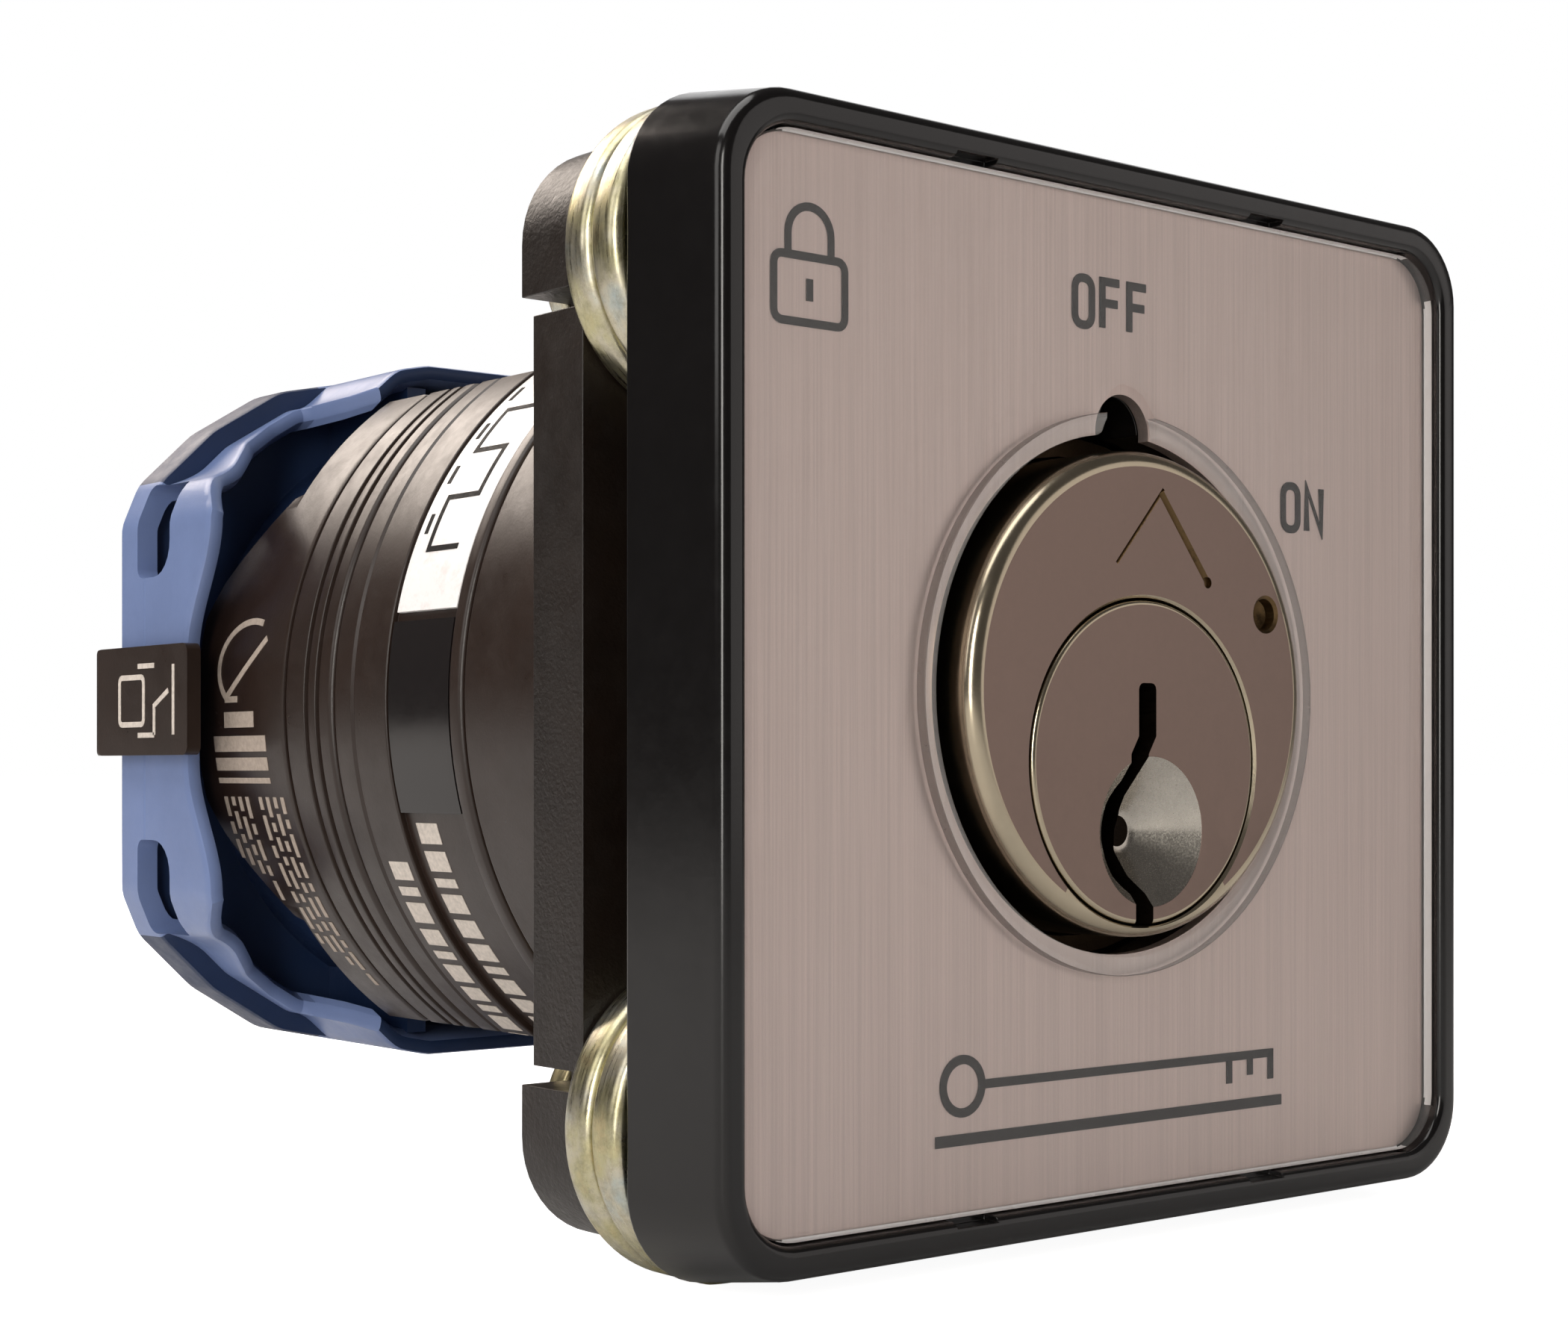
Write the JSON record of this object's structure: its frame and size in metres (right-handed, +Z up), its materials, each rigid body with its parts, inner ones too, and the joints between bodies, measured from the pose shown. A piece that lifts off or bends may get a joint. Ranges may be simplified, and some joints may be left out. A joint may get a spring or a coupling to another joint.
{
  "type": "rotary isolator switch",
  "caption": "Key-operated rotary isolator switch for panel mounting, with a square bezel, a turning lock barrel, a detent stage and a cam-worked contact stage",
  "frame": {"origin": "on the switch axis in the plane of the bezel's rear face, which seats on the panel", "axes": "+X right as seen from the front, +Y back through the panel along the switch axis, +Z up (12 o'clock, OFF)"},
  "size_m": [0.0504, 0.0609, 0.0504],
  "materials": {
    "bezel_black": "gloss black moulded plastic",
    "clear_window": "clear moulded acrylic",
    "brushed_legend": "vertical brushed",
    "zinc": "zinc plated, turned edges",
    "plate_black": "fine textured black-brown",
    "brass": "machined",
    "body_black": "semi-gloss dark grey-brown",
    "satin_nickel": "satin nickel plate",
    "spring_steel": "drawn wire",
    "steel": "machined steel",
    "pale_plastic": "natural nylon",
    "cam_plastic": "red-brown thermoset",
    "label_foil": "silver-white foil label",
    "copper": "copper alloy",
    "shroud_blue": "blue-grey moulded plastic"
  },
  "bodies": {
    "housing": {"bezel": "bezel_black", "clear_window": "clear_window", "legend_plate": "brushed_legend", "washer_front_1": "zinc", "washer_front_2": "zinc", "washer_front_3": "zinc", "washer_front_4": "zinc", "washer_rear_1": "zinc", "washer_rear_2": "zinc", "washer_rear_3": "zinc", "washer_rear_4": "zinc", "panel_screw_1": "zinc", "panel_screw_2": "zinc", "panel_screw_3": "zinc", "panel_screw_4": "zinc", "mounting_plate": "plate_black", "lock_sleeve": "brass", "lock_housing": "body_black", "latch_housing": "body_black", "label_band": "label_foil", "contact_housing_front": "body_black", "contact_housing_rear": "body_black", "terminal_shroud": "shroud_blue", "rear_cover": "body_black", "tie_bolt_top": "zinc", "tie_bolt_bottom": "zinc", "terminal_1": "copper", "terminal_2": "copper", "terminal_3": "copper", "terminal_4": "copper", "detent_spring_left": "spring_steel", "detent_spring_right": "spring_steel", "contact_spring_left": "spring_steel", "contact_spring_right": "spring_steel"},
    "rotor": {"lock_barrel": "satin_nickel", "pin_cover": "brass", "driver_pin_1": "brass", "driver_pin_2": "brass", "driver_pin_3": "brass", "pin_spring_1": "spring_steel", "pin_spring_2": "spring_steel", "pin_spring_3": "spring_steel", "drive_adapter": "pale_plastic", "drive_shaft": "steel", "shaft_clip": "spring_steel", "star_wheel": "cam_plastic", "contact_cam": "cam_plastic"},
    "plug": {"key_plug": "satin_nickel", "plug_cam": "steel", "key_pin_1": "brass", "key_pin_2": "brass", "key_pin_3": "brass"},
    "bolt": {"lock_bolt": "steel"},
    "detent_left": {"detent_plunger_left": "pale_plastic"},
    "detent_right": {"detent_plunger_right": "pale_plastic"},
    "contact_left": {"contact_plunger_left": "pale_plastic", "contact_bridge_left": "copper"},
    "contact_right": {"contact_plunger_right": "pale_plastic", "contact_bridge_right": "copper"}
  },
  "joints": [
    {"name": "barrel_turn", "type": "hinge", "parent": "housing", "child": "rotor", "pos_m": [0, 0, 0], "axis": [0, 1, 0], "range_deg": [0, 60]},
    {"name": "plug_turn", "type": "hinge", "parent": "rotor", "child": "plug", "pos_m": [0, 0, -0.00307], "axis": [0, 1, 0], "range_deg": [0, 90]},
    {"name": "bolt_slide", "type": "slide", "parent": "rotor", "child": "bolt", "axis": [1, 0, 0], "range_m": [0, 0.0019]},
    {"name": "detent_left_slide", "type": "slide", "parent": "housing", "child": "detent_left", "axis": [1, 0, 0], "range_m": [-0.0004, 0.0008], "stiffness_N_per_m": 400, "deforming": ["detent_spring_left"]},
    {"name": "detent_right_slide", "type": "slide", "parent": "housing", "child": "detent_right", "axis": [-1, 0, 0], "range_m": [-0.0004, 0.0008], "stiffness_N_per_m": 400, "deforming": ["detent_spring_right"]},
    {"name": "contact_left_slide", "type": "slide", "parent": "housing", "child": "contact_left", "axis": [1, 0, 0], "range_m": [0, 0.0021], "deforming": ["contact_spring_left"]},
    {"name": "contact_right_slide", "type": "slide", "parent": "housing", "child": "contact_right", "axis": [-1, 0, 0], "range_m": [0, 0.0021], "deforming": ["contact_spring_right"]}
  ],
  "couplings": [
    {"joint": "bolt_slide", "follows": "plug_turn", "m_per_rad": 0.0012096},
    {"joint": "contact_left_slide", "follows": "barrel_turn", "m_per_rad": 0.0020054},
    {"joint": "contact_right_slide", "follows": "barrel_turn", "m_per_rad": 0.0020054}
  ]
}
